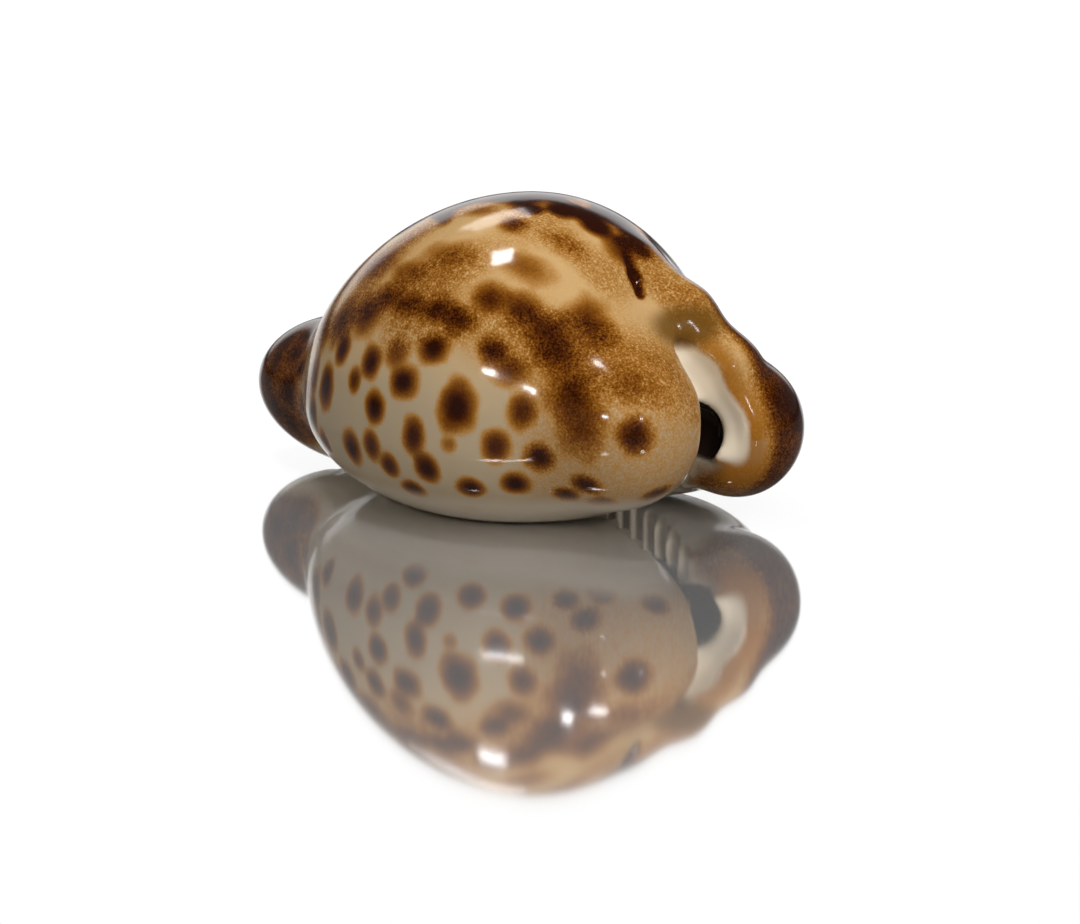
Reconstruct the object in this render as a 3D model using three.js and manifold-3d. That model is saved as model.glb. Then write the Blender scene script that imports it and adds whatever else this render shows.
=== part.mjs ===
// Cowrie shell: one egg-shaped whorl rolled in over its own aperture, hollow inside.
//
// Millimetres, +Z up. The shell stands on its flattened base, aperture down, as it lies on a table.
// -X is the anterior beak, +X the posterior end with its notch. Seen from above with the beak
// pointing away, the outer lip (+Y) is on the right and the columellar lip (-Y) is on the left.
//
// The outside and the cavity are smooth forms: each is a field of distance to a surface, blended
// from a few eggs and rounded rods. A sphere is laid around each form and its points are drawn in
// along straight rays until they meet the surface. The toothed aperture is an extruded outline.

import * as THREE from 'three';
import { mergeVertices } from 'three/addons/utils/BufferGeometryUtils.js';
import Module from 'manifold-3d';

// ---------------------------------------------------------------- driving dimensions

// The domed body: its widest section stands at BODY.x, and its widest level is BODY.z above the
// table. It reaches further towards the beak than towards the posterior end.
const BODY = {
  x: 3, z: 12,
  toBeak: 32, toPosterior: 27, halfWidth: 26.2, up: 28.8, down: 14.8,
  beakPower: 1.85, // 2 is a plain ellipsoid; a lower power at the tip makes that end more conical
  widthTaper: 0.08, heightTaper: 0.13, taperLength: 40,
};

// The blunt spout in front, and the swellings at the posterior end on both sides of the notch.
const BEAK = { at: [-23, 0, 10.9], radii: [17.9, 10.2, 10.5], blend: 5 };
const COLUMELLAR_LOBE = { at: [27.5, -10, 14.5], radii: [9.5, 9.5, 9.5], blend: 12 };
const LABRAL_LOBE = { at: [32, 8.5, 11.8], radii: [9, 8.5, 9.3], blend: 5 };
const LABRAL_SHOULDER = { at: [18.5, 12.5, 12.5], radii: [15.5, 12.3, 12], blend: 5 };

// The rolled rim that climbs from the labral lobe over the spire: [x, y, z, radius].
const RIM = {
  beads: [[19, 3, 31, 3.6], [26.5, 3.8, 26.2, 4], [32.3, 5.2, 20, 4.1], [34, 6.3, 13, 5.3]],
  blend: 4,
};

// A short crease where the rim rolls onto the spire, and below it the notch beside the rim.
const CREASE_BEADS = [[21.4, -1.4, 34.7, 0.4], [23.2, -2.3, 32.2, 0.7], [24.6, -3.2, 30.1, 0.5]];
const NOTCH_BEADS = [
  [29.6, -1, 23.6, 0.8], [32.2, -1.2, 20, 2.3], [35.6, -1.9, 14, 3.8], [39, -2.6, 6.5, 4.1], [42, -3, -4, 4.4],
];
// The dark hole at the back of the notch, which runs through into the hollow.
const THROAT_BEADS = [[30.5, 0, 12.2, 4.2], [20, 1.2, 13, 3.9]];
const ROD_SIDES = 20; // facets around the rods that cut the crease, the notch and the throat
const ROD_CAP_STEPS = 5;

const BASE_EDGE = 1.5; // how softly the sides turn into the flat base

// The hollow inside follows the body at a wall's thickness. It has a thick floor, and the
// columellar side, where the inner turns are, is left thick too.
const CAVITY = { wall: 2.4, floor: 7, columellarSide: -16, rounding: 6 };
const CAVITY_CENTRE = [2, 2, 19];

// The aperture: a long slit with a row of teeth on both lips, curving at its two ends.
const SLIT = {
  y: 3, halfWidth: 2.3, top: 8.5, bottom: -2, end: 46,
  posteriorBend: 4.5, posteriorFrom: 14, posteriorOver: 20, posteriorWiden: 0.6, posteriorCurve: 1.5,
  beakBend: 2, beakFrom: -22, beakOver: 16, beakCurve: 2,
};
const TEETH = { from: -27, to: 27, count: 24, groove: 1.4 };
// One tooth and the groove after it: [share of the pitch, share of the groove's depth].
const TOOTH_PROFILE = [[0, 0], [0.42, 0], [0.6, 1], [0.82, 1]];
const PLAIN_PITCHES = [3, 5]; // stations past the last tooth, in pitches, that follow the curved ends

const OUTSIDE_DETAIL = 14;
const CAVITY_DETAIL = 7;
const OUTSIDE_PROPORTIONS = new THREE.Vector3(40, 26, 20); // the stretch of each geodesic sphere
const CAVITY_PROPORTIONS = new THREE.Vector3(28, 20, 16);
const OUTSIDE_CENTRE = [2, 0, 16]; // the rays run from here
const RAY_START = 70; // a radius outside the whole shell
const RAY_STEP = 0.5;
const HALVINGS = 24; // of the last step
const FLAT_TOLERANCE = 0.002; // points this near the table belong to the flat base

const ENAMEL = { color: 0xc9b08a, roughness: 0.18, metalness: 0 };

// ---------------------------------------------------------------- blending fields

// Cubic blend of two distances: the smaller one, rounded where they are within `blend`.
function smoothMin(a, b, blend) {
  const h = Math.max(blend - Math.abs(a - b), 0) / blend;
  return Math.min(a, b) - h * h * h * blend / 6;
}

function smoothMax(a, b, blend) {
  return -smoothMin(-a, -b, blend);
}

// Distance to an ellipsoid whose end along X is drawn out by a power below 2 at its tip.
function eggDistance([x, y, z], [a, b, c], tipPower) {
  const u = Math.abs(x) / a;
  const v = y / b;
  const w = z / c;
  const power = THREE.MathUtils.lerp(2, tipPower, Math.min(u, 1));
  const ring = Math.max(Math.hypot(v, w), 1e-6);
  const size = Math.max((u ** power + ring ** power) ** (1 / power), 0.05);
  const alongX = (u / size) ** (power - 1) / a;
  const alongRing = (ring / size) ** (power - 1) / ring;
  return (size - 1) / Math.max(Math.hypot(alongX, alongRing * v / b, alongRing * w / c), 1e-4);
}

function lobeDistance(p, lobe) {
  return eggDistance(p.map((value, i) => value - lobe.at[i]), lobe.radii, 2);
}

// Distance to a rod whose radius changes evenly from one bead to the next.
function rodDistance(p, from, to) {
  const along = [0, 1, 2].map((i) => to[i] - from[i]);
  const away = [0, 1, 2].map((i) => p[i] - from[i]);
  const dot = along[0] * away[0] + along[1] * away[1] + along[2] * away[2];
  const t = THREE.MathUtils.clamp(dot / (along[0] ** 2 + along[1] ** 2 + along[2] ** 2), 0, 1);
  const gap = Math.hypot(...away.map((value, i) => value - t * along[i]));
  return gap - THREE.MathUtils.lerp(from[3], to[3], t);
}

// Rods strung through a list of beads, each one [x, y, z, radius].
function beadChainDistance(p, beads, blend) {
  let distance = rodDistance(p, beads[0], beads[1]);
  for (let i = 1; i < beads.length - 1; i += 1) {
    distance = smoothMin(distance, rodDistance(p, beads[i], beads[i + 1]), blend);
  }
  return distance;
}

// ---------------------------------------------------------------- the two forms

function bodyDistance([x, y, z]) {
  const towardsBeak = x < BODY.x;
  const taper = (x - BODY.x) / BODY.taperLength;
  const radii = [
    towardsBeak ? BODY.toBeak : BODY.toPosterior,
    BODY.halfWidth * (1 + BODY.widthTaper * taper),
    z > BODY.z ? BODY.up * (1 + BODY.heightTaper * taper) : BODY.down,
  ];
  return eggDistance([x - BODY.x, y, z - BODY.z], radii, towardsBeak ? BODY.beakPower : 2);
}

function outsideDistance(p) {
  const rim = beadChainDistance(p, RIM.beads, RIM.blend);
  let labral = smoothMin(lobeDistance(p, LABRAL_LOBE), rim, RIM.blend);
  labral = smoothMin(labral, lobeDistance(p, LABRAL_SHOULDER), LABRAL_SHOULDER.blend);
  let distance = smoothMin(bodyDistance(p), lobeDistance(p, BEAK), BEAK.blend);
  distance = smoothMin(distance, lobeDistance(p, COLUMELLAR_LOBE), COLUMELLAR_LOBE.blend);
  distance = smoothMin(distance, labral, LABRAL_LOBE.blend);
  return smoothMax(distance, -p[2], BASE_EDGE);
}

function cavityDistance(p) {
  const inner = bodyDistance(p) + CAVITY.wall;
  const floored = smoothMax(inner, CAVITY.floor - p[2], CAVITY.rounding);
  return smoothMax(floored, CAVITY.columellarSide - p[1], CAVITY.rounding);
}

// ---------------------------------------------------------------- meshing

// Walks in along a ray from outside until the field turns negative, then halves the last step.
function meetSurface(field, centre, direction) {
  const at = (distance) => direction.map((value, i) => centre[i] + value * distance);
  let outer = RAY_START;
  while (outer > RAY_STEP && field(at(outer - RAY_STEP)) > 0) outer -= RAY_STEP;
  let inner = outer - RAY_STEP;
  for (let i = 0; i < HALVINGS; i += 1) {
    const middle = (inner + outer) / 2;
    if (field(at(middle)) > 0) outer = middle;
    else inner = middle;
  }
  return at(outer);
}

function mergePositions(geometry) {
  geometry.deleteAttribute('normal');
  geometry.deleteAttribute('uv');
  return mergeVertices(geometry, 1e-5);
}

// A geodesic sphere, stretched to the form's proportions and drawn in onto its surface.
function wrapForm(field, centre, proportions, detail) {
  const wrapped = mergePositions(new THREE.IcosahedronGeometry(1, detail));
  const position = wrapped.attributes.position;
  const ray = new THREE.Vector3();
  for (let i = 0; i < position.count; i += 1) {
    ray.fromBufferAttribute(position, i).multiply(proportions).normalize();
    const [x, y, z] = meetSurface(field, centre, ray.toArray());
    position.setXYZ(i, x, y, Math.abs(z) < FLAT_TOLERANCE ? 0 : z);
  }
  return wrapped;
}

// 0 along the straight stretch of the aperture, rising to 1 at its posterior end.
function towardsPosterior(x) {
  return THREE.MathUtils.clamp((x - SLIT.posteriorFrom) / SLIT.posteriorOver, 0, 1);
}

// The line that the middle of the aperture follows.
function slitMiddle(x) {
  const posterior = towardsPosterior(x) ** SLIT.posteriorCurve;
  const beak = THREE.MathUtils.clamp((SLIT.beakFrom - x) / SLIT.beakOver, 0, 1) ** SLIT.beakCurve;
  return SLIT.y - SLIT.posteriorBend * posterior - SLIT.beakBend * beak;
}

function slitHalfWidth(x) {
  return SLIT.halfWidth + SLIT.posteriorWiden * towardsPosterior(x);
}

// [x, groove depth] along one lip: flat-topped teeth with a groove after each one.
function lipStations() {
  const pitch = (TEETH.to - TEETH.from) / TEETH.count;
  const before = PLAIN_PITCHES.map((pitches) => [TEETH.from - pitches * pitch, 0]).reverse();
  const after = PLAIN_PITCHES.map((pitches) => [TEETH.to + pitches * pitch, 0]);
  const toothed = [];
  for (let i = 0; i < TEETH.count; i += 1) {
    TOOTH_PROFILE.forEach(([along, depth]) => {
      toothed.push([TEETH.from + (i + along) * pitch, depth * TEETH.groove]);
    });
  }
  return [[-SLIT.end, 0], ...before, ...toothed, [TEETH.to, 0], ...after, [SLIT.end, 0]];
}

function slitGeometry() {
  const stations = lipStations();
  const lip = (side) => stations.map(([x, groove]) => (
    new THREE.Vector2(x, slitMiddle(x) + side * (slitHalfWidth(x) + groove))
  ));
  const outline = new THREE.Shape([...lip(-1), ...lip(1).reverse()]);
  const depth = SLIT.top - SLIT.bottom;
  const geometry = new THREE.ExtrudeGeometry(outline, { depth, bevelEnabled: false, steps: 1 });
  geometry.translate(0, 0, SLIT.bottom);
  return mergePositions(geometry);
}

// A rod with round ends around two beads, as a profile turned about the line between them.
function rodGeometry(from, to) {
  const start = new THREE.Vector3(...from.slice(0, 3));
  const along = new THREE.Vector3(...to.slice(0, 3)).sub(start);
  const length = along.length();
  const tilt = Math.asin((from[3] - to[3]) / length); // how far the straight side leans in
  const profile = [];
  const addArc = (centre, radius, begin, end) => {
    for (let i = 0; i <= ROD_CAP_STEPS; i += 1) {
      const angle = THREE.MathUtils.lerp(begin, end, i / ROD_CAP_STEPS);
      const reach = Math.max(radius * Math.cos(angle), 0);
      profile.push(new THREE.Vector2(reach, centre + radius * Math.sin(angle)));
    }
  };
  addArc(0, from[3], -Math.PI / 2, tilt);
  addArc(length, to[3], tilt, Math.PI / 2);
  profile[0].x = 0; // both ends lie exactly on the axis
  profile[profile.length - 1].x = 0;
  const geometry = new THREE.LatheGeometry(profile, ROD_SIDES);
  const turn = new THREE.Quaternion().setFromUnitVectors(new THREE.Vector3(0, 1, 0), along.normalize());
  geometry.applyQuaternion(turn).translate(start.x, start.y, start.z);
  return mergePositions(geometry);
}

// ---------------------------------------------------------------- joining and cutting

const wasm = await Module();
wasm.setup();

function toSolid(geometry) {
  return new wasm.Manifold(new wasm.Mesh({
    numProp: 3,
    vertProperties: new Float32Array(geometry.attributes.position.array),
    triVerts: new Uint32Array(geometry.index.array),
  }));
}

function toGeometry(solid) {
  const mesh = solid.getMesh();
  const geometry = new THREE.BufferGeometry();
  geometry.setAttribute('position', new THREE.BufferAttribute(mesh.vertProperties.slice(), 3));
  geometry.setIndex(new THREE.BufferAttribute(mesh.triVerts.slice(), 1));
  return geometry;
}

// Moves the finished shell so that the middle of its outline is on the Z axis.
function centreOverOrigin(geometry) {
  geometry.computeBoundingBox();
  const middle = geometry.boundingBox.getCenter(new THREE.Vector3());
  geometry.translate(-middle.x, -middle.y, 0);
  geometry.computeVertexNormals();
  return geometry;
}

// Rods strung through a list of beads, as one solid.
function beadChainSolid(beads) {
  let solid = toSolid(rodGeometry(beads[0], beads[1]));
  for (let i = 1; i < beads.length - 1; i += 1) {
    solid = solid.add(toSolid(rodGeometry(beads[i], beads[i + 1])));
  }
  return solid;
}

function makeShell() {
  const outside = wrapForm(outsideDistance, OUTSIDE_CENTRE, OUTSIDE_PROPORTIONS, OUTSIDE_DETAIL);
  const cavity = wrapForm(cavityDistance, CAVITY_CENTRE, CAVITY_PROPORTIONS, CAVITY_DETAIL);
  const hollow = toSolid(outside).subtract(toSolid(cavity));
  const open = hollow.subtract(toSolid(slitGeometry())).subtract(beadChainSolid(THROAT_BEADS));
  const solid = open.subtract(beadChainSolid(NOTCH_BEADS)).subtract(beadChainSolid(CREASE_BEADS));
  const shell = new THREE.Mesh(centreOverOrigin(toGeometry(solid)), new THREE.MeshStandardMaterial(ENAMEL));
  shell.name = 'shell';
  return shell;
}

const group = new THREE.Group();
group.add(makeShell());

export default group;
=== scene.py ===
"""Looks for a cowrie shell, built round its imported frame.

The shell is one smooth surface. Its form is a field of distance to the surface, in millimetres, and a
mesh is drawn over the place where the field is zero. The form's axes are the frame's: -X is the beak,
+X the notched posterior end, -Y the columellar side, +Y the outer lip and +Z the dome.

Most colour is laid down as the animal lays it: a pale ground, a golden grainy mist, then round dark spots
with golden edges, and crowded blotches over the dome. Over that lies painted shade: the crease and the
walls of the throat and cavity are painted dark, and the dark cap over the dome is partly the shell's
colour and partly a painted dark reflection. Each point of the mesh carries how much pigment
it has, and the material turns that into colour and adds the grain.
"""

import math

import bpy
import numpy as np
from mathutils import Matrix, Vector


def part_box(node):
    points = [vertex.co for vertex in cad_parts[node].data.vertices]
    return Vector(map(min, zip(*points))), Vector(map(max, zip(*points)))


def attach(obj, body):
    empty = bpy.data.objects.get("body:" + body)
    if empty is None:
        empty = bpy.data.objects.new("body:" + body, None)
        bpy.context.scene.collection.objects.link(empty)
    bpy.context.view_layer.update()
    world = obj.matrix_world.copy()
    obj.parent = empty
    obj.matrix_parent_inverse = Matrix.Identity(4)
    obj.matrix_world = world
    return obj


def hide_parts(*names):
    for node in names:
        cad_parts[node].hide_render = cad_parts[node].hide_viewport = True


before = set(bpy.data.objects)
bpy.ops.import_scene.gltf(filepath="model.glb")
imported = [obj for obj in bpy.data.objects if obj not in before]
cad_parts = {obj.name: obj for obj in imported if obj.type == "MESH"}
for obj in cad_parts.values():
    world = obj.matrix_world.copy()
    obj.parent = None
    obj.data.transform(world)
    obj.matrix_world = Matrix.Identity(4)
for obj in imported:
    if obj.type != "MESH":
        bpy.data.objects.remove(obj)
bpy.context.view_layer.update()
SHELL_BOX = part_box("shell")

MM = 0.001

# ---------------------------------------------------------------- the form, in millimetres

BODY = dict(x=3.0, z=12.0, to_beak=32.0, to_posterior=27.0, half_width=26.2, up=28.8, down=14.8,
            beak_power=1.85, width_taper=0.08, height_taper=0.13, taper_length=40.0)
BEAK = dict(at=(-23, 0, 10.9), radii=(17.9, 10.2, 10.5), blend=5)
COLUMELLAR_LOBE = dict(at=(27.5, -10, 14.5), radii=(9.5, 9.5, 9.5), blend=12)
LABRAL_LOBE = dict(at=(32, 8.5, 11.8), radii=(9, 8.5, 9.3), blend=5)
LABRAL_SHOULDER = dict(at=(18.5, 12.5, 12.5), radii=(15.5, 12.3, 12), blend=5)

# beads are (x, y, z, radius)
RIM = dict(
    beads=[(19, 3, 31, 3.6), (26.5, 3.8, 26.2, 4.0), (32.3, 5.2, 20, 4.1), (34, 6.3, 13, 5.3)],
    blend=4,
)
CREASE = dict(
    beads=[(21.4, -1.4, 34.7, 0.4), (23.2, -2.3, 32.2, 0.65), (24.6, -3.2, 30.1, 0.4)],
    blend=1, edge=0.6,
)
# the notch fades out at its top, where its radius falls below nothing
NOTCH = dict(
    beads=[(28.6, -0.9, 24.9, -0.4), (29.8, -1.0, 23.2, 0.9), (32.2, -1.2, 20, 2.3),
           (35.6, -1.9, 14, 3.8), (39, -2.6, 6.5, 4.1), (42, -3, -4, 4.4)],
    blend=2, edge=1.4,
)
THROAT = dict(beads=[(30.5, 0, 12.2, 4.2), (20, 1.2, 13, 3.9)], edge=1.4)
BASE_EDGE = 1.5

CAVITY = dict(wall=2.4, floor=7, columellar_side=-16, rounding=6)

# the aperture: a slit along the base that bends at both ends, with teeth on both lips
SLIT = dict(
    y=3, half_width=2.3, top=8.5, edge=1.8,
    posterior_bend=4.5, posterior_from=14, posterior_over=20, posterior_widen=0.6, posterior_curve=1.5,
    beak_bend=2, beak_from=-22, beak_over=16, beak_curve=2,
)
TEETH = dict(start=-27.0, end=27.0, count=24, groove=1.3, on_base=0.55, reach=4.5, fade=3.0)

GRID_STEP = 0.52
GRID_MARGIN = 2.0
GRADIENT_STEP = 0.04
SETTLE_STEPS = 3
RELAX_ROUNDS = 6
RELAX_SHARE = 0.6  # of the way to the neighbours' average


def smooth_min(a, b, blend):
    """The smaller of two distances, rounded where they are within `blend` of each other."""
    h = np.maximum(blend - np.abs(a - b), 0) / blend
    return np.minimum(a, b) - h ** 3 * blend / 6


def smooth_max(a, b, blend):
    return -smooth_min(-a, -b, blend)


def smooth_step(low, high, value):
    """0 at `low` and 1 at `high`, with no corner at either. `low` may be the larger."""
    t = np.clip((value - low) / (high - low), 0, 1)
    return t * t * (3 - 2 * t)


def egg_distance(x, y, z, radii, tip_power):
    """Distance to an ellipsoid whose end along X is drawn out by a power below 2 at its tip."""
    a, b, c = radii
    u, v, w = np.abs(x) / a, y / b, z / c
    power = 2 + (tip_power - 2) * np.minimum(u, 1)
    ring = np.maximum(np.hypot(v, w), 1e-6)
    size = np.maximum((u ** power + ring ** power) ** (1 / power), 0.05)
    along_x = (u / size) ** (power - 1) / a
    along_ring = (ring / size) ** (power - 1) / ring
    slope = np.sqrt(along_x ** 2 + (along_ring * v / b) ** 2 + (along_ring * w / c) ** 2)
    return (size - 1) / np.maximum(slope, 1e-4)


def lobe_distance(p, lobe):
    x, y, z = (p[i] - lobe["at"][i] for i in range(3))
    return egg_distance(x, y, z, lobe["radii"], 2)


def rod_distance(p, start, end):
    along = [end[i] - start[i] for i in range(3)]
    away = [p[i] - start[i] for i in range(3)]
    length_squared = sum(v * v for v in along)
    t = np.clip(sum(v * w for v, w in zip(along, away)) / length_squared, 0, 1)
    gap = np.sqrt(sum((w - t * v) ** 2 for v, w in zip(along, away)))
    return gap - (start[3] + (end[3] - start[3]) * t)


def chain_distance(p, beads, blend):
    distance = rod_distance(p, beads[0], beads[1])
    for start, end in zip(beads[1:-1], beads[2:]):
        distance = smooth_min(distance, rod_distance(p, start, end), blend)
    return distance


def body_distance(p):
    x, y, z = p
    towards_beak = x < BODY["x"]
    taper = (x - BODY["x"]) / BODY["taper_length"]
    radii = (
        np.where(towards_beak, BODY["to_beak"], BODY["to_posterior"]),
        BODY["half_width"] * (1 + BODY["width_taper"] * taper),
        np.where(z > BODY["z"], BODY["up"] * (1 + BODY["height_taper"] * taper), BODY["down"]),
    )
    power = np.where(towards_beak, BODY["beak_power"], 2.0)
    return egg_distance(x - BODY["x"], y, z - BODY["z"], radii, power)


def solid_outside(p):
    rim = chain_distance(p, RIM["beads"], RIM["blend"])
    labral = smooth_min(lobe_distance(p, LABRAL_LOBE), rim, RIM["blend"])
    labral = smooth_min(labral, lobe_distance(p, LABRAL_SHOULDER), LABRAL_SHOULDER["blend"])
    distance = smooth_min(body_distance(p), lobe_distance(p, BEAK), BEAK["blend"])
    distance = smooth_min(distance, lobe_distance(p, COLUMELLAR_LOBE), COLUMELLAR_LOBE["blend"])
    return smooth_min(distance, labral, LABRAL_LOBE["blend"])


def cavity_distance(p):
    inner = body_distance(p) + CAVITY["wall"]
    floored = smooth_max(inner, CAVITY["floor"] - p[2], CAVITY["rounding"])
    return smooth_max(floored, CAVITY["columellar_side"] - p[1], CAVITY["rounding"])


def towards_posterior(x):
    return np.clip((x - SLIT["posterior_from"]) / SLIT["posterior_over"], 0, 1)


def slit_middle(x):
    """The line that the middle of the aperture follows."""
    beak = np.clip((SLIT["beak_from"] - x) / SLIT["beak_over"], 0, 1)
    bend = SLIT["posterior_bend"] * towards_posterior(x) ** SLIT["posterior_curve"]
    return SLIT["y"] - bend - SLIT["beak_bend"] * beak ** SLIT["beak_curve"]


def slit_half_width(x):
    return SLIT["half_width"] + SLIT["posterior_widen"] * towards_posterior(x)


def between_teeth(x):
    """0 on the crown of a tooth, 1 in the groove beside it, and 0 past the last tooth."""
    pitch = (TEETH["end"] - TEETH["start"]) / TEETH["count"]
    wave = 0.5 + 0.5 * np.cos(2 * np.pi * (x - TEETH["start"] + pitch / 4) / pitch)
    ends = smooth_step(TEETH["start"] - TEETH["fade"], TEETH["start"] + TEETH["fade"], x)
    ends = ends * smooth_step(TEETH["end"] + TEETH["fade"], TEETH["end"] - TEETH["fade"], x)
    return (1 - wave ** 2) * ends


def notch_distance(p):
    return chain_distance(p, NOTCH["beads"], NOTCH["blend"])


def crease_distance(p):
    return chain_distance(p, CREASE["beads"], CREASE["blend"])


def throat_distance(p):
    return rod_distance(p, *THROAT["beads"])


def shell_distance(p):
    """The whole shell: negative inside its wall, zero on its surface."""
    x, y, z = p
    distance = solid_outside(p)
    distance = smooth_max(distance, -notch_distance(p), NOTCH["edge"])
    distance = smooth_max(distance, -crease_distance(p), CREASE["edge"])
    distance = smooth_max(distance, -throat_distance(p), THROAT["edge"])
    distance = smooth_max(distance, -z, BASE_EDGE)
    from_middle = np.abs(y - slit_middle(x))
    groove = between_teeth(x)
    past_lip = from_middle - slit_half_width(x)
    on_base = smooth_step(TEETH["reach"], 0, past_lip) * smooth_step(TEETH["reach"], 0, z)
    distance = distance + TEETH["on_base"] * groove * on_base
    slit = smooth_max(past_lip - TEETH["groove"] * groove, z - SLIT["top"], SLIT["edge"])
    distance = smooth_max(distance, -slit, SLIT["edge"])
    return smooth_max(distance, -cavity_distance(p), SLIT["edge"])


# ---------------------------------------------------------------- drawing a mesh over the field


def grid_axes():
    low = np.array(SHELL_BOX[0]) / MM - GRID_MARGIN
    high = np.array(SHELL_BOX[1]) / MM + GRID_MARGIN
    return [np.arange(low[i], high[i] + GRID_STEP, GRID_STEP) for i in range(3)]


def surface_net(values):
    """One point in each grid cell that the surface crosses, and a quad round each crossed grid edge."""
    cells = tuple(n - 1 for n in values.shape)
    total = np.zeros((int(np.prod(cells)), 3))
    hits = np.zeros(len(total))
    rings = []
    inside = values < 0
    for axis in range(3):
        u, v = (axis + 1) % 3, (axis + 2) % 3
        low, high = [slice(None)] * 3, [slice(None)] * 3
        low[axis], high[axis] = slice(None, -1), slice(1, None)
        low, high = tuple(low), tuple(high)
        crossed = np.argwhere(inside[low] != inside[high])
        a, b = values[low][tuple(crossed.T)], values[high][tuple(crossed.T)]
        point = crossed.astype(float)
        point[:, axis] += a / (a - b)
        ring = []
        for du, dv in ((1, 1), (0, 1), (0, 0), (1, 0)):
            cell = crossed.copy()
            cell[:, u] -= du
            cell[:, v] -= dv
            flat = np.ravel_multi_index(tuple(cell.T), cells)
            ring.append(flat)
            hits += np.bincount(flat, minlength=len(hits))
            for i in range(3):
                total[:, i] += np.bincount(flat, weights=point[:, i], minlength=len(hits))
        ring = np.stack(ring, axis=1)
        outward = inside[low][tuple(crossed.T)]
        ring[~outward] = ring[~outward][:, ::-1]
        rings.append(ring)
    used = np.flatnonzero(hits)
    number = np.full(len(hits), -1)
    number[used] = np.arange(len(used))
    return total[used] / hits[used][:, None], number[np.concatenate(rings)]


def slope_at(points):
    """The field's value and gradient at each point."""
    p = list(points.T)
    slopes = []
    for axis in range(3):
        ahead, behind = list(p), list(p)
        ahead[axis] = p[axis] + GRADIENT_STEP
        behind[axis] = p[axis] - GRADIENT_STEP
        slopes.append((shell_distance(ahead) - shell_distance(behind)) / (2 * GRADIENT_STEP))
    return shell_distance(p), np.stack(slopes, axis=1)


def settle(points):
    """Moves points along the slope onto the surface. Returns them with their outward normals."""
    for _ in range(SETTLE_STEPS):
        value, slope = slope_at(points)
        square = np.maximum((slope ** 2).sum(axis=1), 0.05)
        move = np.clip(value / square, -GRID_STEP, GRID_STEP)
        points = points - slope * move[:, None]
    _, slope = slope_at(points)
    return points, slope / np.maximum(np.linalg.norm(slope, axis=1, keepdims=True), 1e-6)


def relax(points, normals, quads):
    """Evens out the quads: each point moves towards its neighbours' average, along the surface only."""
    start = np.concatenate([quads[:, i] for i in range(4)] * 2)
    end = np.concatenate([quads[:, (i + 1) % 4] for i in range(4)] + [quads[:, i - 1] for i in range(4)])
    count = np.bincount(start, minlength=len(points))[:, None]
    average = np.stack([np.bincount(start, points[end, i], len(points)) for i in range(3)], axis=1) / count
    move = (average - points) * RELAX_SHARE
    return points + move - normals * (move * normals).sum(axis=1, keepdims=True)


def draw_surface():
    axes = grid_axes()
    grid = np.meshgrid(*axes, indexing="ij", sparse=True)
    values = shell_distance([g.astype(float) for g in grid])
    cell_points, quads = surface_net(values)
    points = cell_points * GRID_STEP + np.array([axis[0] for axis in axes])
    for _ in range(RELAX_ROUNDS):
        points, normals = settle(points)
        points = relax(points, normals, quads)
    points, normals = settle(points)
    return points, normals, quads


# ---------------------------------------------------------------- where the pigment lies

SPINE_Z = 12.0  # angles round the shell are measured about this level
FAR_OUT = 45.0  # from that line, a distance outside the whole shell
HALVINGS = 30
RIPPLE_WAVES = 7
SCATTER_TRIES = 4000
BEAK_SCATTER_TRIES = 600

# Spots on the columellar flank: along X in mm, angle up from the widest level in degrees, radius in mm,
# strength, and how much taller than wide.
FLANK_SPOTS = [
    (11.9, 13, 2.65, 1.00, 1.3), (3.7, 17.5, 2.4, 1.00, 0.9), (7.3, 28, 2.2, 1.00, 1.0),
    (15.0, 31, 2.2, 0.90, 0.8), (-2.5, 21.5, 1.9, 0.95, 1.2), (1.7, 25, 2.0, 0.55, 1.1),
    (-9.3, 25, 1.8, 0.95, 1.3), (-12.1, 12, 2.2, 1.00, 1.4), (-5.3, 16, 1.4, 0.75, 1.3),
    (-0.7, 9, 1.9, 1.00, 1.2), (6.1, 3, 1.8, 0.90, 1.5), (7.7, -6, 1.9, 0.95, 1.2),
    (16.8, 2.5, 1.9, 0.85, 1.2), (19.7, 14.5, 1.9, 0.78, 1.2), (22.0, 0, 1.9, 1.00, 1.0),
    (12.9, -12, 1.9, 0.95, 0.9), (18.5, -10.5, 2.0, 1.00, 0.9), (-5.5, -5, 1.9, 0.90, 1.4),
    (-1.3, -2, 1.7, 0.80, 1.3), (1.5, -7.5, 1.6, 0.85, 1.2), (-16.3, 0, 2.0, 0.90, 1.4),
    (-13.0, -9, 1.7, 0.85, 1.2), (11.1, 2, 1.2, 0.35, 1.0), (4.1, -15, 1.9, 0.90, 0.9),
    (-16.5, 15, 1.8, 0.75, 1.8), (-19.3, 8, 1.6, 0.70, 1.5), (27.5, -10, 2.0, 0.90, 0.8),
    (24.0, -16, 1.8, 0.85, 0.8), (28.0, -21, 2.1, 0.85, 0.6), (33.5, -22, 2.0, 0.85, 0.7),
    (10.5, -24, 1.8, 0.70, 0.7), (33.8, 12, 2.5, 0.92, 1.0),
]

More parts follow.
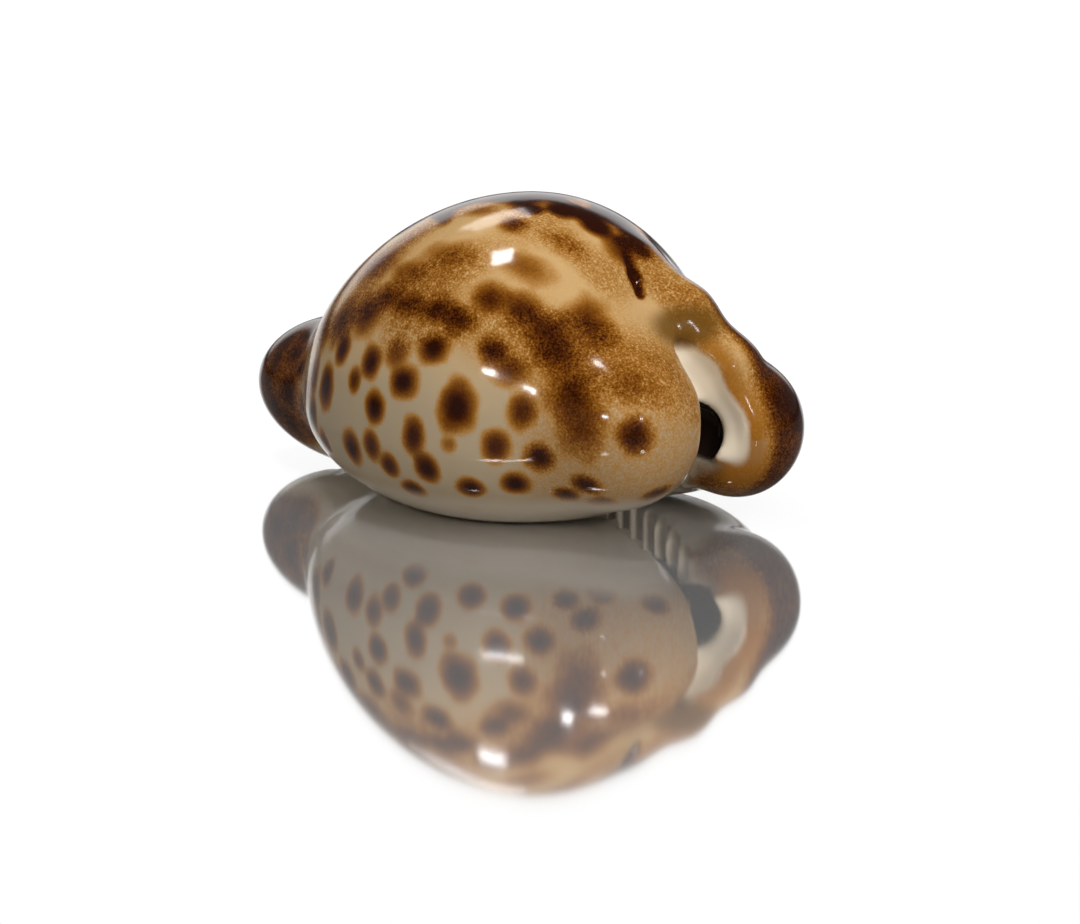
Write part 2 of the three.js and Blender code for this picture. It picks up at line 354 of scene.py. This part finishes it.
# Larger, softer patches higher up the flank and on the lobe, where spots run together in the mist.
FLANK_PATCHES = [
    (-3.0, 41, 2.6, 0.80, 0.8), (-6.0, 36, 3.0, 0.85, 0.9), (-11.5, 34, 2.6, 0.80, 1.1),
    (-16.0, 32, 2.0, 0.60, 1.4), (1.2, 39, 2.2, 0.80, 0.7), (6.0, 38.5, 2.6, 0.92, 0.7),
    (9.5, 37, 2.4, 0.92, 0.8), (12.5, 45, 2.4, 0.85, 0.8), (16.5, 45, 2.6, 0.88, 0.8),
    (20.0, 42, 2.8, 0.88, 0.8), (21.8, 36, 2.8, 0.88, 0.9), (17.4, 27, 2.4, 0.72, 0.8),
    (23.0, 53, 2.6, 0.72, 1.0), (25.4, 50, 2.2, 0.55, 1.0), (-1.0, 49, 3.0, 0.50, 0.6),
    (4.0, 55, 4.0, 0.45, 0.5), (-8.5, 54, 4.2, 0.48, 0.6), (14.5, 58, 3.6, 0.42, 0.5),
    (16.5, 72, 2.8, 0.34, 0.6), (31.5, 30, 2.2, 0.34, 0.9), (25.3, 24, 3.2, 0.86, 1.0),
    (27.5, 13, 2.8, 0.70, 1.4), (9.5, 70, 1.7, 0.80, 0.9), (3.0, 74, 2.4, 0.35, 0.6),
    (20.6, 86, 2.4, 0.75, 0.8),
]

# Crowded blotches over the dome, black with orange between them.
DOME_BLOTCHES = [
    (12.0, 84, 2.3, 1.00, 0.9), (9.3, 79, 1.6, 0.95, 0.9), (16.5, 87, 2.6, 1.00, 0.9),
    (20.0, 90, 1.8, 0.95, 0.9), (3.0, 84, 3.0, 1.00, 0.8), (-3.0, 80, 2.6, 0.95, 0.7),
    (-9.0, 75, 2.2, 0.90, 0.6), (7.5, 91, 2.2, 1.00, 0.9), (21.5, 94, 1.6, 0.90, 0.9),
]


def angle_round(p):
    """Degrees up from the widest level on the columellar side: 90 on top, 180 on the outer lip's side."""
    return np.degrees(np.arctan2(p[:, 2] - SPINE_Z, -p[:, 1]))


def chart_point(x, angle):
    """The point of the surface at one place along the shell and one angle round it."""
    direction = np.array([0, -math.cos(math.radians(angle)), math.sin(math.radians(angle))])
    near, far = 0.0, FAR_OUT
    for _ in range(HALVINGS):
        middle = (near + far) / 2
        at = np.array([x, 0, SPINE_Z]) + direction * middle
        if solid_outside([np.array([v]) for v in at])[0] < 0:
            near = middle
        else:
            far = middle
    return np.array([x, 0, SPINE_Z]) + direction * near, direction


def ripple(p, size, seed):
    """A smooth wandering value between about -1 and 1, from a few crossed waves of about `size` mm."""
    rng = np.random.default_rng(seed)
    total = np.zeros(len(p))
    for _ in range(RIPPLE_WAVES):
        direction = rng.normal(size=3)
        direction /= np.linalg.norm(direction)
        turns = p @ direction * (2 * np.pi / size) * rng.uniform(0.7, 1.5)
        total += np.sin(turns + rng.uniform(0, 2 * np.pi))
    return total / RIPPLE_WAVES ** 0.5 / 1.2


def lay_spots(p, spots, core, reach):
    """Pigment from a list of spots: full inside `core` radii, none beyond `reach` radii."""
    bare = np.ones(len(p))
    for x, angle, radius, strength, tall in spots:
        centre, outward = chart_point(x, angle)
        round_shell = np.cross([1.0, 0, 0], outward)
        away = p - centre
        close = np.flatnonzero((away ** 2).sum(axis=1) < (radius * reach * 1.6) ** 2)
        along, across, depth = away[close, 0], away[close] @ round_shell, away[close] @ outward
        wobble = 1 + 0.08 * ripple(p[close], 4.0, 11)
        distance = np.sqrt(along ** 2 + (across / tall) ** 2 + depth ** 2) / radius * wobble
        bare[close] *= 1 - strength * smooth_step(reach, core, distance)
    return 1 - bare


def far_apart(spot, spots, arc, gap, spare):
    """Whether a spot is clear of the others. `arc` is how many mm one radian round the shell is."""
    x, angle, radius = spot
    return all(
        math.hypot(x - other[0], math.radians(angle - other[1]) * arc) > (radius + other[2]) * gap + spare
        for other in spots
    )


def scatter_spots():
    """Spots for the sides that no list covers, kept apart from each other by a seeded draw."""
    rng = np.random.default_rng(27)
    spots = []
    for _ in range(SCATTER_TRIES):
        x, angle = rng.uniform(-34, 36), rng.uniform(96, 205)
        if x > 21 and angle < 150:
            continue
        on_dome = angle < 128
        radius = rng.uniform(1.9, 3.1) if on_dome else rng.uniform(1.4, 2.5)
        gap = 0.62 if on_dome else 1.0
        arc = 22 if abs(x) < 14 else 16
        if far_apart((x, angle, radius), spots, arc, gap, 0.7):
            strength = rng.uniform(0.85, 1.0)
            spots.append((x, angle, radius, strength, rng.uniform(0.85, 1.2)))
    return spots


def scatter_beak_spots():
    rng = np.random.default_rng(5)
    spots = []
    for _ in range(BEAK_SCATTER_TRIES):
        x, angle, radius = rng.uniform(-39, -24), rng.uniform(-32, 95), rng.uniform(1.5, 2.3)
        if far_apart((x, angle, radius), spots, 10, 0.95, 0):
            spots.append((x, angle, radius, rng.uniform(0.6, 0.95), rng.uniform(0.9, 1.4)))
    return spots


def crown_and_dark_reflection(p):
    """The dark cap over the dome, with a ragged edge and golden gaps. It is partly the shell's own dark
    colour and partly a painted dark reflection along the top of the dome.
    """
    angle = angle_round(p)
    rise = angle - 0.6 * (p[:, 0] - 5) + 5 * ripple(p, 7.0, 8)
    cap = smooth_step(75, 83, rise) * smooth_step(132, 118, angle + 8 * ripple(p, 9.0, 9))
    cap = cap * smooth_step(24, 19, p[:, 0]) * smooth_step(-27, -20, p[:, 0])
    gaps = smooth_step(0.55, 1.0, ripple(p, 6.0, 21))
    return 0.97 * cap * (1 - 0.8 * gaps)


def pigment(p):
    """How much dark pigment each point has, from 0 on the pale ground to 1 in a spot's middle. It also
    carries painted shade in the crease and a painted dark reflection on the dome's cap.
    """
    # painted shade: the crease is filled almost fully dark
    crease_shade = 0.95 * smooth_step(0.6, 0.0, crease_distance(p.T))
    bare = (1 - crown_and_dark_reflection(p)) * (1 - crease_shade)
    for spots, core, reach in (
        (FLANK_SPOTS, 0.2, 1.32),
        (FLANK_PATCHES, 0.0, 1.6),
        (DOME_BLOTCHES, 0.5, 1.35),
        (scatter_spots(), 0.4, 1.3),
        (scatter_beak_spots(), 0.2, 1.35),
    ):
        bare = bare * (1 - lay_spots(p, spots, core, reach))
    return 1 - bare


# Places below are in the form's millimetres. In smooth_step the paint is gone at the first number and
# full at the second.
TONGUE = dict(beads=[(20.5, 0.8, 35.5, 1.2), (25, 1.4, 31.5, 2.2), (29.5, 1.8, 26, 2.6)], blend=2)
STAIN = dict(at=(28.7, 0.9, 26.0), stretch=(1.2, 1.4, 0.68), reach=5.2, core=2.4, strength=0.9)
LOBE_MIST_AT = (31, -13, 14)
MIST = dict(flank=0.32, lobe=0.09, tongue=0.11, beak=0.66, outer_lip=0.76)


def under_lip(p):
    """1 on the outer lip's knob below the notch, down to the base."""
    return smooth_step(27, 31, p[:, 0]) * smooth_step(10, 6, p[:, 2]) * smooth_step(-5, -2.5, p[:, 1])


def tongue(p):
    """1 on the tongue, where the rim comes down between the crease and the notch."""
    return smooth_step(1.5, -0.3, chain_distance(p.T, TONGUE["beads"], TONGUE["blend"]))


def outer_lip(p):
    """1 on the outer lip's knob and up along the far side of the rim."""
    x, y, z = p.T
    knob = smooth_step(29, 34, x) * smooth_step(3, 6, y) * smooth_step(-1, 4, z) * smooth_step(25, 17, z)
    strip = smooth_step(3.5, 6, y) * smooth_step(18, 22, x) * smooth_step(15, 20, z)
    return np.maximum.reduce([knob, strip, 0.5 * under_lip(p)])


def mist(p):
    """The grainy golden mist between the spots: thick on the upper flanks, none near the base."""
    x, _, z = p.T
    angle = angle_round(p)
    up_flank = smooth_step(18, 38, angle) * smooth_step(200, 168, angle)
    patchy = np.clip(0.5 + 0.6 * ripple(p, 11.0, 3), 0.22, 1)
    by_crease = smooth_step(-10, 8, x) * smooth_step(46, 58, angle) * smooth_step(150, 120, angle)
    flank = up_flank * patchy * (1 - 0.55 * by_crease)
    lobe = smooth_step(19, 11, np.linalg.norm(p - np.array(LOBE_MIST_AT), axis=1))
    beak = smooth_step(-24, -29, x) * smooth_step(-2, 5, z)
    total = (
        MIST["flank"] * flank + MIST["lobe"] * lobe + MIST["tongue"] * tongue(p)
        + MIST["beak"] * beak + MIST["outer_lip"] * outer_lip(p)
    )
    return np.clip(total, 0, 1)


def olive_stain(p):
    """The olive-brown smudge on the tongue, where the rim rises out of the notch."""
    near = np.linalg.norm((p - np.array(STAIN["at"])) / np.array(STAIN["stretch"]), axis=1)
    return smooth_step(STAIN["reach"], STAIN["core"], near)


def paleness(p, normals):
    """1 where the shell has no pigment: the base, the canal and whatever lies under the outer form."""
    x, y, z = p.T
    base = smooth_step(-0.6, -0.9, normals[:, 2]) * smooth_step(8, 4, z)
    base = np.maximum(base, smooth_step(2.2, 0.6, z))
    canal = smooth_step(0.7, 0.0, notch_distance(p.T)) * smooth_step(25, 29, x) * smooth_step(-3.5, -1.5, y)
    under_form = smooth_step(-0.3, -1.0, solid_outside(p.T))
    pale = np.maximum.reduce([base, canal, under_form]) * (1 - 0.9 * under_lip(p))
    # no pale paint beside the crease, so the painted shade in it stays dark
    pale = pale * (1 - smooth_step(2.0, 1.0, crease_distance(p.T)))
    return pale * (1 - olive_stain(p))


def hollow_shade(p):
    """1 on the walls of the throat and of the cavity, which no light reaches; there the colour is painted
    shade, near black.
    """
    within = np.minimum(throat_distance(p.T), cavity_distance(p.T))
    return smooth_step(0.6, 0.1, within) * smooth_step(0.2, 0.8, notch_distance(p.T))


def golden_edge(p):
    """An orange band along the crest of the rim beside the notch."""
    x, y, z = p.T
    notch = notch_distance(p.T)
    crest = smooth_step(-0.1, 0.5, notch) * smooth_step(3.8, 1.6, notch) * smooth_step(0, 1.5, y)
    return 0.85 * crest * smooth_step(28, 30.5, x) * smooth_step(0, 4, z)


# ---------------------------------------------------------------- the material


def add_node(tree, kind, **values):
    node = tree.nodes.new(kind)
    for name, value in values.items():
        if hasattr(node, name):
            setattr(node, name, value)
        else:
            node.inputs[name.replace("_", " ")].default_value = value
    return node


def attribute(tree, name):
    return add_node(tree, "ShaderNodeAttribute", attribute_name=name).outputs["Fac"]


def math_node(tree, operation, a, b, clamp=False):
    node = add_node(tree, "ShaderNodeMath", operation=operation, use_clamp=clamp)
    for socket, value in zip(node.inputs, (a, b)):
        if isinstance(value, (int, float)):
            socket.default_value = value
        else:
            tree.links.new(value, socket)
    return node.outputs[0]


def noise(tree, coordinates, grain_mm, detail, roughness=0.55):
    node = add_node(tree, "ShaderNodeTexNoise")
    node.inputs["Scale"].default_value = 1 / (grain_mm * MM)
    node.inputs["Detail"].default_value = detail
    node.inputs["Roughness"].default_value = roughness
    tree.links.new(coordinates, node.inputs["Vector"])
    return node.outputs["Fac"]


def ramp(tree, factor, stops):
    node = add_node(tree, "ShaderNodeValToRGB")
    elements = node.color_ramp.elements
    elements[0].position, elements[0].color = stops[0][0], (*stops[0][1], 1)
    elements[1].position, elements[1].color = stops[-1][0], (*stops[-1][1], 1)
    for position, colour in stops[1:-1]:
        elements.new(position).color = (*colour, 1)
    tree.links.new(factor, node.inputs[0])
    return node.outputs[0]


def blend_node(tree, value, start, end):
    """A smooth step from 0 at `start` to 1 at `end`."""
    node = add_node(tree, "ShaderNodeMapRange", interpolation_type="SMOOTHSTEP")
    node.inputs["From Min"].default_value = start
    node.inputs["From Max"].default_value = end
    tree.links.new(value, node.inputs["Value"])
    return node.outputs[0]


def mix_colour(tree, factor, a, b, blend="MIX"):
    node = add_node(tree, "ShaderNodeMix", data_type="RGBA", blend_type=blend)
    for socket, value in zip((node.inputs[0], node.inputs[6], node.inputs[7]), (factor, a, b)):
        if isinstance(value, (int, float)):
            socket.default_value = value
        elif isinstance(value, tuple):
            socket.default_value = (*value, 1)
        else:
            tree.links.new(value, socket)
    return node.outputs[2]


GROUND_COOL = (0.46, 0.355, 0.225)
GROUND_WARM = (0.62, 0.40, 0.175)
PIGMENT_STOPS = [
    (0.12, (0.46, 0.235, 0.065)),
    (0.29, (0.30, 0.115, 0.014)),
    (0.50, (0.18, 0.056, 0.004)),
    (0.74, (0.090, 0.022, 0.0018)),
    (0.97, (0.026, 0.0045, 0.001)),
]
ENAMEL_WHITE = (0.88, 0.76, 0.59)
# painted shade for the walls of the throat and the cavity
HOLLOW_SHADE_COLOUR = (0.025, 0.014, 0.010)
CREST_ORANGE = (0.34, 0.128, 0.010)
OLIVE = (0.155, 0.068, 0.007)


# grain sizes in millimetres
GRAIN_FINE = 0.30
GRAIN_COARSE = 0.85
GROUND_CLOUDS = 6.0
SWELLS = 4.5
PITS = 0.5
SMEARS = 7.0

FINE_SHARE = 0.7  # of the grain; the coarse grain has the rest
GRAIN_STRENGTH = 6.0
STAINED_FROM = 0.14  # the amount of pigment that hides the ground
BUMP_DEPTH = 0.12 * MM


def grained_pigment(tree, coordinates):
    """The pigment, broken up by two sizes of grain that matter most where it is neither bare nor full."""
    amount = attribute(tree, "pigment")
    fine = noise(tree, coordinates, GRAIN_FINE, 2.0, 0.6)
    coarse = noise(tree, coordinates, GRAIN_COARSE, 3.0, 0.6)
    fine_part = math_node(tree, "MULTIPLY", fine, FINE_SHARE)
    grain = math_node(tree, "ADD", fine_part, math_node(tree, "MULTIPLY", coarse, 1 - FINE_SHARE))
    grain = math_node(tree, "MULTIPLY", math_node(tree, "SUBTRACT", grain, 0.5), attribute(tree, "grain"))
    half_tone = math_node(tree, "MULTIPLY", amount, math_node(tree, "SUBTRACT", 1.15, amount))
    grained = math_node(tree, "MULTIPLY", grain, math_node(tree, "MULTIPLY", half_tone, GRAIN_STRENGTH))
    return math_node(tree, "ADD", amount, grained, clamp=True)


def ground_colour(tree, coordinates):
    """The pale ground: warmer up the flanks, cooler and greyer low down."""
    cloud = math_node(tree, "SUBTRACT", noise(tree, coordinates, GROUND_CLOUDS, 3.0), 0.5)
    cloud = math_node(tree, "MULTIPLY", cloud, 0.6)
    warm = math_node(tree, "ADD", attribute(tree, "warmth"), cloud, clamp=True)
    return mix_colour(tree, warm, GROUND_COOL, GROUND_WARM)


def enamel_colour(tree, coordinates):
    tone = grained_pigment(tree, coordinates)
    cover = blend_node(tree, tone, 0.0, STAINED_FROM)
    colour = mix_colour(tree, cover, ground_colour(tree, coordinates), ramp(tree, tone, PIGMENT_STOPS))
    colour = mix_colour(tree, attribute(tree, "crest"), colour, CREST_ORANGE)
    colour = mix_colour(tree, attribute(tree, "pale"), colour, ENAMEL_WHITE)
    colour = mix_colour(tree, attribute(tree, "olive"), colour, OLIVE)
    # painted shade: near black on the walls of the throat and the cavity
    return mix_colour(tree, attribute(tree, "inside"), colour, HOLLOW_SHADE_COLOUR)


def enamel_normal(tree, coordinates):
    """Long low swells in the surface, with faint pits on them."""
    pits = math_node(tree, "MULTIPLY", noise(tree, coordinates, PITS, 2.0), 0.06)
    height = math_node(tree, "ADD", noise(tree, coordinates, SWELLS, 2.0), pits)
    bump = add_node(tree, "ShaderNodeBump")
    bump.inputs["Strength"].default_value = 0.35
    bump.inputs["Distance"].default_value = BUMP_DEPTH
    tree.links.new(height, bump.inputs["Height"])
    return bump.outputs[0]


def enamel_roughness(tree, coordinates):
    smear = math_node(tree, "MULTIPLY", noise(tree, coordinates, SMEARS, 4.0), 0.10)
    return math_node(tree, "ADD", smear, 0.06)


def enamel_material():
    material = bpy.data.materials.new("spotted_enamel")
    material.use_nodes = True
    tree = material.node_tree
    shader = tree.nodes["Principled BSDF"]
    coordinates = add_node(tree, "ShaderNodeTexCoord").outputs["Object"]
    tree.links.new(enamel_colour(tree, coordinates), shader.inputs["Base Color"])
    tree.links.new(enamel_normal(tree, coordinates), shader.inputs["Normal"])
    tree.links.new(enamel_roughness(tree, coordinates), shader.inputs["Roughness"])
    shader.inputs["IOR"].default_value = 1.36
    shader.inputs["Specular IOR Level"].default_value = 0.5
    shader.inputs["Subsurface Weight"].default_value = 0.08
    shader.inputs["Subsurface Radius"].default_value = (1.0, 0.55, 0.3)
    shader.inputs["Subsurface Scale"].default_value = 1.2 * MM
    return material


# ---------------------------------------------------------------- the shell


def store(mesh, name, values):
    layer = mesh.attributes.new(name, "FLOAT", "POINT")
    layer.data.foreach_set("value", np.ascontiguousarray(values, dtype=np.float32))


def fit_to_frame(points):
    """The CAD part is centred over the origin, so the form is moved by the same amount."""
    low, high = np.array(SHELL_BOX[0]) / MM, np.array(SHELL_BOX[1]) / MM
    shift = (low + high) / 2 - (points.min(axis=0) + points.max(axis=0)) / 2
    shift[2] = low[2] - points[:, 2].min()
    return points + shift


def paint_mesh(mesh, points, normals):
    """Stores what the material reads: how much of each kind of colour every point has."""
    angle = angle_round(points)
    pale = paleness(points, normals)
    haze = mist(points)
    # pigment includes painted shade in the crease and a painted dark reflection on the dome's cap
    store(mesh, "pigment", (1 - (1 - pigment(points)) * (1 - haze)) * (1 - pale))
    store(mesh, "grain", 0.25 + 0.75 * smooth_step(0.02, 0.15, haze))
    store(mesh, "warmth", smooth_step(8, 46, angle) * smooth_step(205, 160, angle))
    store(mesh, "pale", pale)
    store(mesh, "crest", golden_edge(points))
    # inside: painted shade on the walls of the throat and the cavity
    store(mesh, "inside", hollow_shade(points))
    store(mesh, "olive", STAIN["strength"] * olive_stain(points))


def make_shell():
    points, normals, quads = draw_surface()
    mesh = bpy.data.meshes.new("shell_surface")
    placed = fit_to_frame(points) * MM
    mesh.from_pydata(placed.tolist(), [], quads.tolist())
    mesh.polygons.foreach_set("use_smooth", np.ones(len(quads), dtype=bool))
    paint_mesh(mesh, points, normals)
    mesh.materials.append(enamel_material())
    mesh.update()
    shell = bpy.data.objects.new("shell_surface", mesh)
    bpy.context.collection.objects.link(shell)
    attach(shell, "root")
    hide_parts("shell")


# ---------------------------------------------------------------- stage, lights and camera


FLOOR_HALF_WIDTH = 3.0

CAMERA_AZIMUTH = 36.5
CAMERA_ELEVATION = 13.8
CAMERA_DISTANCE = 0.420
FOCAL_WIDTHS = 2.938  # focal length over the sensor's width
SENSOR_WIDTH = 36.0
AIM = Vector((0.0049, 0, 0.0187))
AIM_RIGHT = -0.0088  # where the aim point falls, in widths of the picture right of centre
AIM_UP = 0.0950

# the world's brightness: overhead, in a low band all round, and in the part of it behind the shell
AMBIENT = 0.04
BAND = 0.14
BACKDROP = 1.25
BAND_FOOT = (1, 5)  # degrees up, over which the band begins
BAND_TOP = (23, 29)  # and over which it ends
BACKDROP_EDGE = (0.80, 0.90)  # cosine of the angle away from straight behind the shell

# Soft boxes: name, azimuth, elevation, distance, size and power. The key lights show as highlights.
KEY_LIGHTS = [
    ("overhead", -62, 77, 0.9, (0.15, 0.15), 3.0),
    ("front_left", 11, 24, 1.1, (0.11, 0.04), 1.2),
    ("front_right", 62, 22, 1.1, (0.07, 0.03), 0.5),
    ("window", -127, 48, 1.2, (0.42, 0.26), 1.6),
]
FILL_LIGHTS = [
    ("fill", 62, 26, 1.5, (1.0, 0.7), 8.0),
    ("side_fill", 85, 45, 1.5, (0.8, 0.8), 5.0),
    ("top_fill", 60, 66, 1.5, (1.0, 1.0), 4.5),
]
LAMPS_AIM_AT = Vector((0, 0, 0.02))


def floor_material():
    material = bpy.data.materials.new("pale_gloss")
    material.use_nodes = True
    shader = material.node_tree.nodes["Principled BSDF"]
    shader.inputs["Base Color"].default_value = (0.80, 0.80, 0.80, 1)
    shader.inputs["Roughness"].default_value = 0.06
    shader.inputs["IOR"].default_value = 2.2
    shader.inputs["Metallic"].default_value = 0.80
    return material


def make_floor():
    half = FLOOR_HALF_WIDTH
    corners = [(-half, -half, 0), (half, -half, 0), (half, half, 0), (-half, half, 0)]
    mesh = bpy.data.meshes.new("floor")
    mesh.from_pydata(corners, [], [(0, 1, 2, 3)])
    mesh.materials.append(floor_material())
    floor = bpy.data.objects.new("floor", mesh)
    bpy.context.collection.objects.link(floor)


def direction_to(azimuth, elevation):
    """Azimuth 0 is out along -Y and 90 is out along +X, as the frame's views have it."""
    a, e = math.radians(azimuth), math.radians(elevation)
    return Vector((math.sin(a) * math.cos(e), -math.cos(a) * math.cos(e), math.sin(e)))


def add_lamp(name, azimuth, elevation, distance, size, power, mirrored):
    """A soft box aimed at the shell. One that isn't mirrored lights it without a highlight of its own."""
    data = bpy.data.lights.new(name, "AREA")
    data.shape = "RECTANGLE"
    data.size, data.size_y = size
    data.energy = power
    lamp = bpy.data.objects.new(name, data)
    towards = direction_to(azimuth, elevation)
    lamp.location = towards * distance + LAMPS_AIM_AT
    lamp.rotation_euler = (-towards).to_track_quat("-Z", "Y").to_euler()
    lamp.visible_glossy = mirrored
    bpy.context.collection.objects.link(lamp)


def make_world():
    """A dim room with a low band of light all round it, and a bright backdrop behind the shell."""
    world = bpy.data.worlds.new("studio")
    bpy.context.scene.world = world
    world.use_nodes = True
    tree = world.node_tree
    background = tree.nodes["Background"]
    direction = add_node(tree, "ShaderNodeTexCoord").outputs["Generated"]
    split = add_node(tree, "ShaderNodeSeparateXYZ")
    tree.links.new(direction, split.inputs[0])
    foot = [math.sin(math.radians(angle)) for angle in BAND_FOOT]
    top = [math.sin(math.radians(angle)) for angle in BAND_TOP]
    above_foot = blend_node(tree, split.outputs["Z"], *foot)
    below_top = blend_node(tree, split.outputs["Z"], *reversed(top))
    low = math_node(tree, "MULTIPLY", below_top, above_foot)
    towards = add_node(tree, "ShaderNodeVectorMath", operation="DOT_PRODUCT")
    tree.links.new(direction, towards.inputs[0])
    towards.inputs[1].default_value = direction_to(CAMERA_AZIMUTH + 180, 0)
    behind = blend_node(tree, towards.outputs["Value"], *BACKDROP_EDGE)
    band = math_node(tree, "ADD", math_node(tree, "MULTIPLY", behind, BACKDROP - BAND), BAND - AMBIENT)
    strength = math_node(tree, "ADD", math_node(tree, "MULTIPLY", low, band), AMBIENT)
    tree.links.new(strength, background.inputs["Strength"])
    background.inputs["Color"].default_value = (1, 1, 1, 1)


def make_lights():
    for lamp in KEY_LIGHTS:
        add_lamp(*lamp, mirrored=True)
    for lamp in FILL_LIGHTS:
        add_lamp(*lamp, mirrored=False)
    make_world()


def make_camera():
    data = bpy.data.cameras.new("camera")
    data.sensor_width = SENSOR_WIDTH
    data.lens = FOCAL_WIDTHS * SENSOR_WIDTH
    camera = bpy.data.objects.new("camera", data)
    back = direction_to(CAMERA_AZIMUTH, CAMERA_ELEVATION)
    rotation = (-back).to_track_quat("-Z", "Y")
    right, up = rotation @ Vector((1, 0, 0)), rotation @ Vector((0, 1, 0))
    across = CAMERA_DISTANCE / FOCAL_WIDTHS
    camera.location = AIM + back * CAMERA_DISTANCE - right * AIM_RIGHT * across - up * AIM_UP * across
    camera.rotation_euler = rotation.to_euler()
    bpy.context.collection.objects.link(camera)
    bpy.context.scene.camera = camera


make_camera()
make_lights()
make_floor()
make_shell()
bpy.context.scene.view_settings.view_transform = "Standard"
